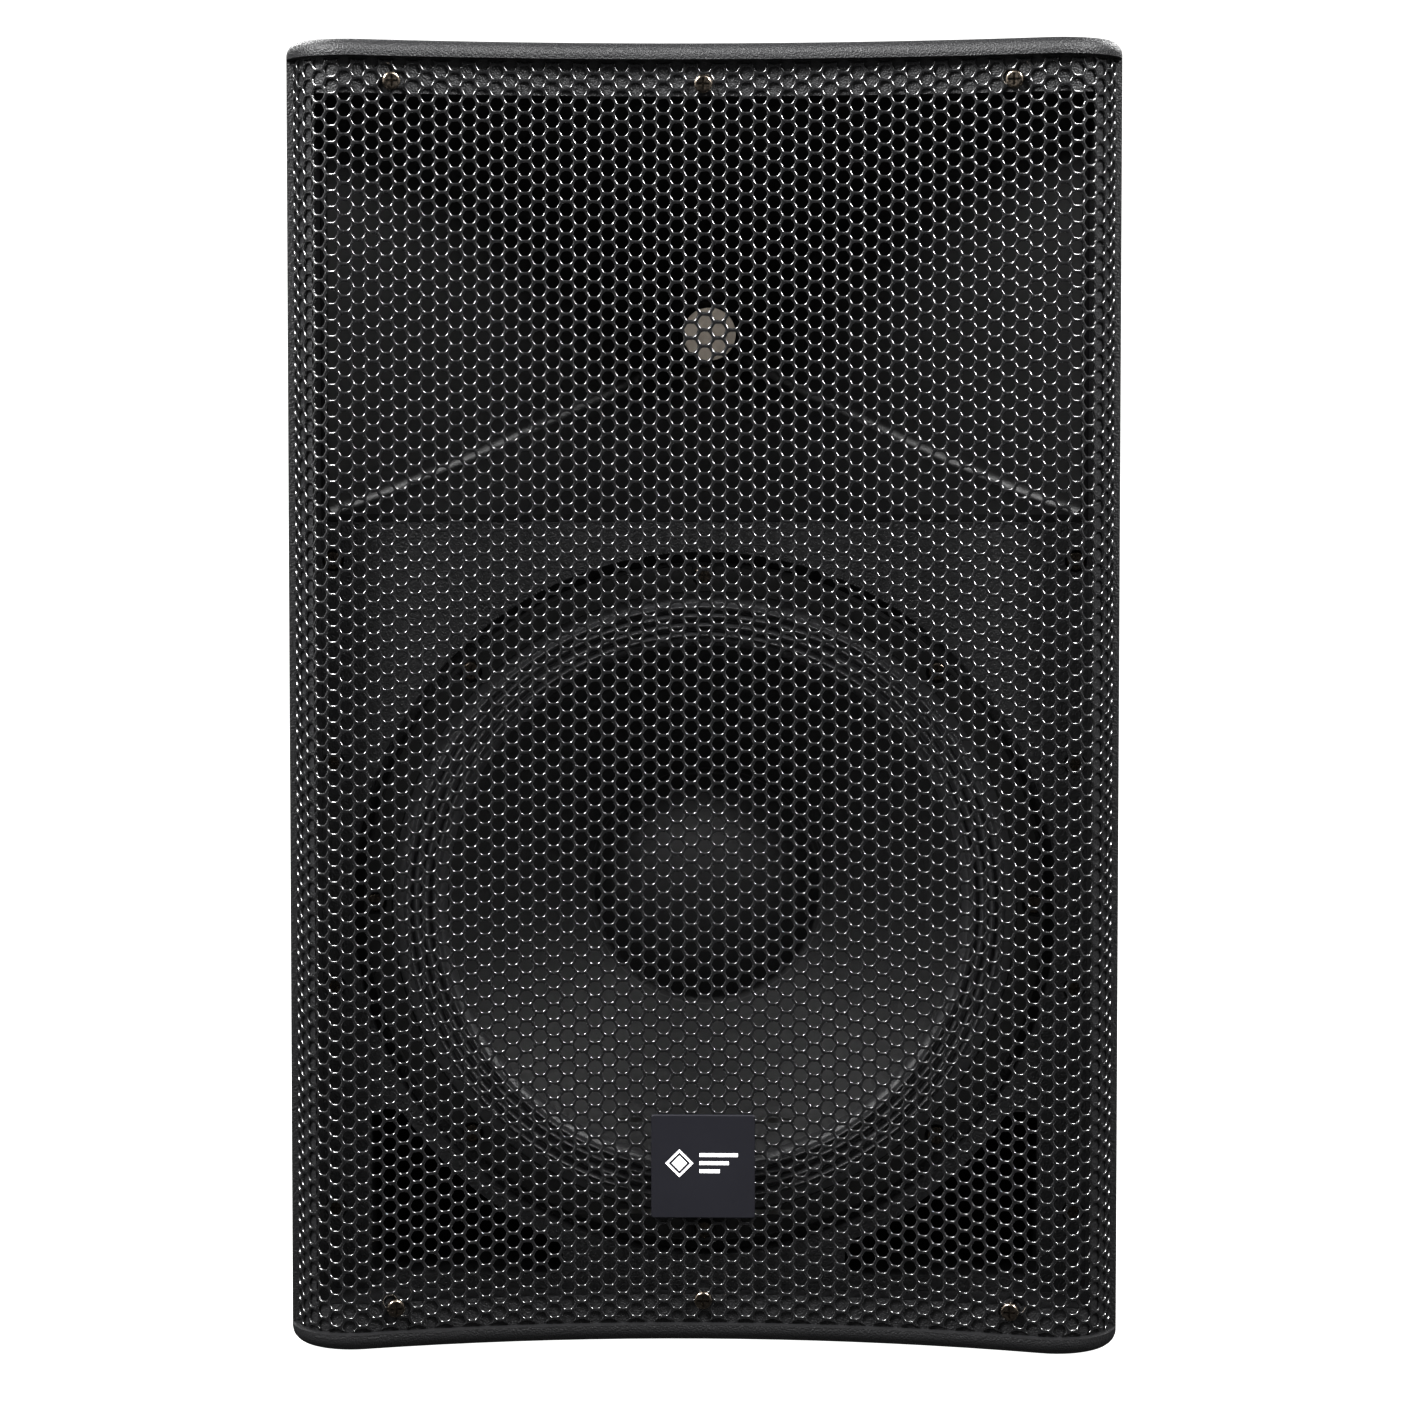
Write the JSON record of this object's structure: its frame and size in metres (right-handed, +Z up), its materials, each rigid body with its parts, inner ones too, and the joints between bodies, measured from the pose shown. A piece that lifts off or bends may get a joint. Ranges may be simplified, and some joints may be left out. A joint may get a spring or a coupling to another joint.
{
  "type": "pa speaker cabinet",
  "caption": "Two-way active loudspeaker in a tapered black moulded cabinet with a concave full-face perforated grille, a wide horn, corner bass ports and a rear amplifier module.",
  "frame": {"origin": "centre of the footprint, on the surface that the rubber feet stand on", "axes": "+Z up, the grille faces -Y, +X to the right when seen from the front"},
  "size_m": [0.366, 0.32, 0.577],
  "materials": {
    "moulded_black": "fine pebble-textured black polypropylene moulding",
    "horn_black": "smooth satin black moulded horn",
    "grille_steel": "semi-gloss black powder coat on perforated steel",
    "screw_black": "black oxide steel screws with a slight bronze cast",
    "badge_plate": "brushed dark blue-grey plate",
    "clip_steel": "bright spring steel",
    "throat_mesh": "pale taupe woven throat screen",
    "zinc_steel": "zinc-plated steel",
    "ferrite": "dark sintered ferrite",
    "phase_plastic": "moulded phase plug",
    "titanium": "thin satin metal dome",
    "driver_black": "moulded rear cover",
    "basket_black": "textured black powder coat on pressed steel",
    "gasket_grey": "grey-black foam and paper gasket",
    "cloth_edge": "doped accordion cloth",
    "cone_paper": "coated paper pulp cone with faint ribs",
    "cap_paper": "coated felted dust cap",
    "coil_copper": "copper winding on a brown former",
    "spider_cloth": "amber resin-treated cloth",
    "terminal_board": "phenolic board with tin-plated tabs",
    "circuit_green": "green circuit board",
    "inductor_copper": "enamelled copper wire coils",
    "capacitor_film": "film capacitors",
    "panel_black": "fine-texture black powder-coated aluminium panel",
    "heatsink_black": "black anodised extrusion",
    "component_black": "sleeved electronic components",
    "transformer_tape": "yellow film-taped toroid",
    "control_body": "pressed metal control cases",
    "knob_black": "soft-touch fluted knobs with a white pointer",
    "socket_black": "black glass-filled nylon sockets",
    "contact_nickel": "nickel-plated contacts",
    "latch_metal": "stamped release tab",
    "button_grey": "grey push button",
    "led_lens": "green and red indicator lenses",
    "inlet_black": "black thermoplastic inlet",
    "rocker_black": "glossy black rocker",
    "handle_rubber": "soft ribbed grip",
    "rubber_black": "black rubber feet",
    "insert_steel": "zinc-plated threaded sleeves"
  },
  "bodies": {
    "cabinet": {"front_baffle": "moulded_black", "rear_shell": "moulded_black", "grille": "grille_steel", "grille_screws": "screw_black", "shell_screws": "screw_black", "badge": "badge_plate", "badge_clips": "clip_steel", "horn_flare": "horn_black", "throat_screen": "throat_mesh", "driver_plates": "zinc_steel", "driver_magnet": "ferrite", "driver_phase_plug": "phase_plastic", "driver_rear_cover": "driver_black", "driver_bolts": "screw_black", "port_duct_left": "horn_black", "port_duct_right": "horn_black", "woofer_basket": "basket_black", "woofer_gasket": "gasket_grey", "woofer_surround": "cloth_edge", "woofer_spider": "spider_cloth", "woofer_top_plate": "zinc_steel", "woofer_magnet": "ferrite", "woofer_yoke": "zinc_steel", "woofer_terminals": "terminal_board", "woofer_screws": "screw_black", "crossover_board": "circuit_green", "crossover_coils": "inductor_copper", "crossover_capacitors": "capacitor_film", "amp_panel": "panel_black", "panel_screws": "screw_black", "amp_heatsink": "heatsink_black", "amp_boards": "circuit_green", "amp_components": "component_black", "transformer": "transformer_tape", "control_bodies": "control_body", "combo_sockets": "socket_black", "link_socket": "socket_black", "rca_sockets": "contact_nickel", "led_lenses": "led_lens", "mains_inlet": "inlet_black", "power_switch": "inlet_black", "top_handle_cup": "moulded_black", "top_handle_grip": "handle_rubber", "pole_socket": "moulded_black", "rubber_feet": "rubber_black", "fly_inserts": "insert_steel"},
    "woofer_moving_assembly": {"woofer_cone": "cone_paper", "woofer_dust_cap": "cap_paper", "woofer_voice_coil": "coil_copper"},
    "hf_diaphragm": {"driver_diaphragm": "titanium"},
    "fuse_drawer_body": {"fuse_drawer": "inlet_black"},
    "rocker_body": {"power_rocker": "rocker_black"},
    "button_body": {"mic_line_button": "button_grey"},
    "left_latch_body": {"left_latch": "latch_metal"},
    "right_latch_body": {"right_latch": "latch_metal"},
    "mic_knob_body": {"mic_knob": "knob_black"},
    "line_knob_body": {"line_knob": "knob_black"},
    "bass_knob_body": {"bass_knob": "knob_black"},
    "treble_knob_body": {"treble_knob": "knob_black"},
    "master_knob_body": {"master_knob": "knob_black"}
  },
  "joints": [
    {"name": "woofer_stroke", "type": "slide", "parent": "cabinet", "child": "woofer_moving_assembly", "axis": [0, -1, 0], "range_m": [-0.005, 0.005], "stiffness_N_per_m": 3000, "deforming": ["woofer_surround", "woofer_spider"]},
    {"name": "diaphragm_stroke", "type": "slide", "parent": "cabinet", "child": "hf_diaphragm", "axis": [0, -1, 0], "range_m": [-0.0003, 0.0003], "stiffness_N_per_m": 2000},
    {"name": "fuse_drawer_slide", "type": "slide", "parent": "cabinet", "child": "fuse_drawer_body", "axis": [0, 1, 0], "range_m": [0, 0.015]},
    {"name": "power_rocker_tilt", "type": "hinge", "parent": "cabinet", "child": "rocker_body", "pos_m": [0.044, 0.1435, 0.158], "axis": [0, 0, 1], "range_deg": [-20, 0]},
    {"name": "mic_line_press", "type": "slide", "parent": "cabinet", "child": "button_body", "axis": [0, -1, 0], "range_m": [0, 0.0025], "stiffness_N_per_m": 300},
    {"name": "left_latch_press", "type": "slide", "parent": "cabinet", "child": "left_latch_body", "axis": [0, 0, -1], "range_m": [0, 0.0012], "stiffness_N_per_m": 400},
    {"name": "right_latch_press", "type": "slide", "parent": "cabinet", "child": "right_latch_body", "axis": [0, 0, -1], "range_m": [0, 0.0012], "stiffness_N_per_m": 400},
    {"name": "mic_knob_turn", "type": "hinge", "parent": "cabinet", "child": "mic_knob_body", "pos_m": [-0.066, 0.152, 0.358], "axis": [0, 1, 0], "range_deg": [-150, 150]},
    {"name": "line_knob_turn", "type": "hinge", "parent": "cabinet", "child": "line_knob_body", "pos_m": [-0.038, 0.152, 0.358], "axis": [0, 1, 0], "range_deg": [-150, 150]},
    {"name": "bass_knob_turn", "type": "hinge", "parent": "cabinet", "child": "bass_knob_body", "pos_m": [-0.01, 0.152, 0.358], "axis": [0, 1, 0], "range_deg": [-150, 150]},
    {"name": "treble_knob_turn", "type": "hinge", "parent": "cabinet", "child": "treble_knob_body", "pos_m": [0.018, 0.152, 0.358], "axis": [0, 1, 0], "range_deg": [-150, 150]},
    {"name": "master_knob_turn", "type": "hinge", "parent": "cabinet", "child": "master_knob_body", "pos_m": [0.05, 0.152, 0.358], "axis": [0, 1, 0], "range_deg": [-150, 150]}
  ]
}
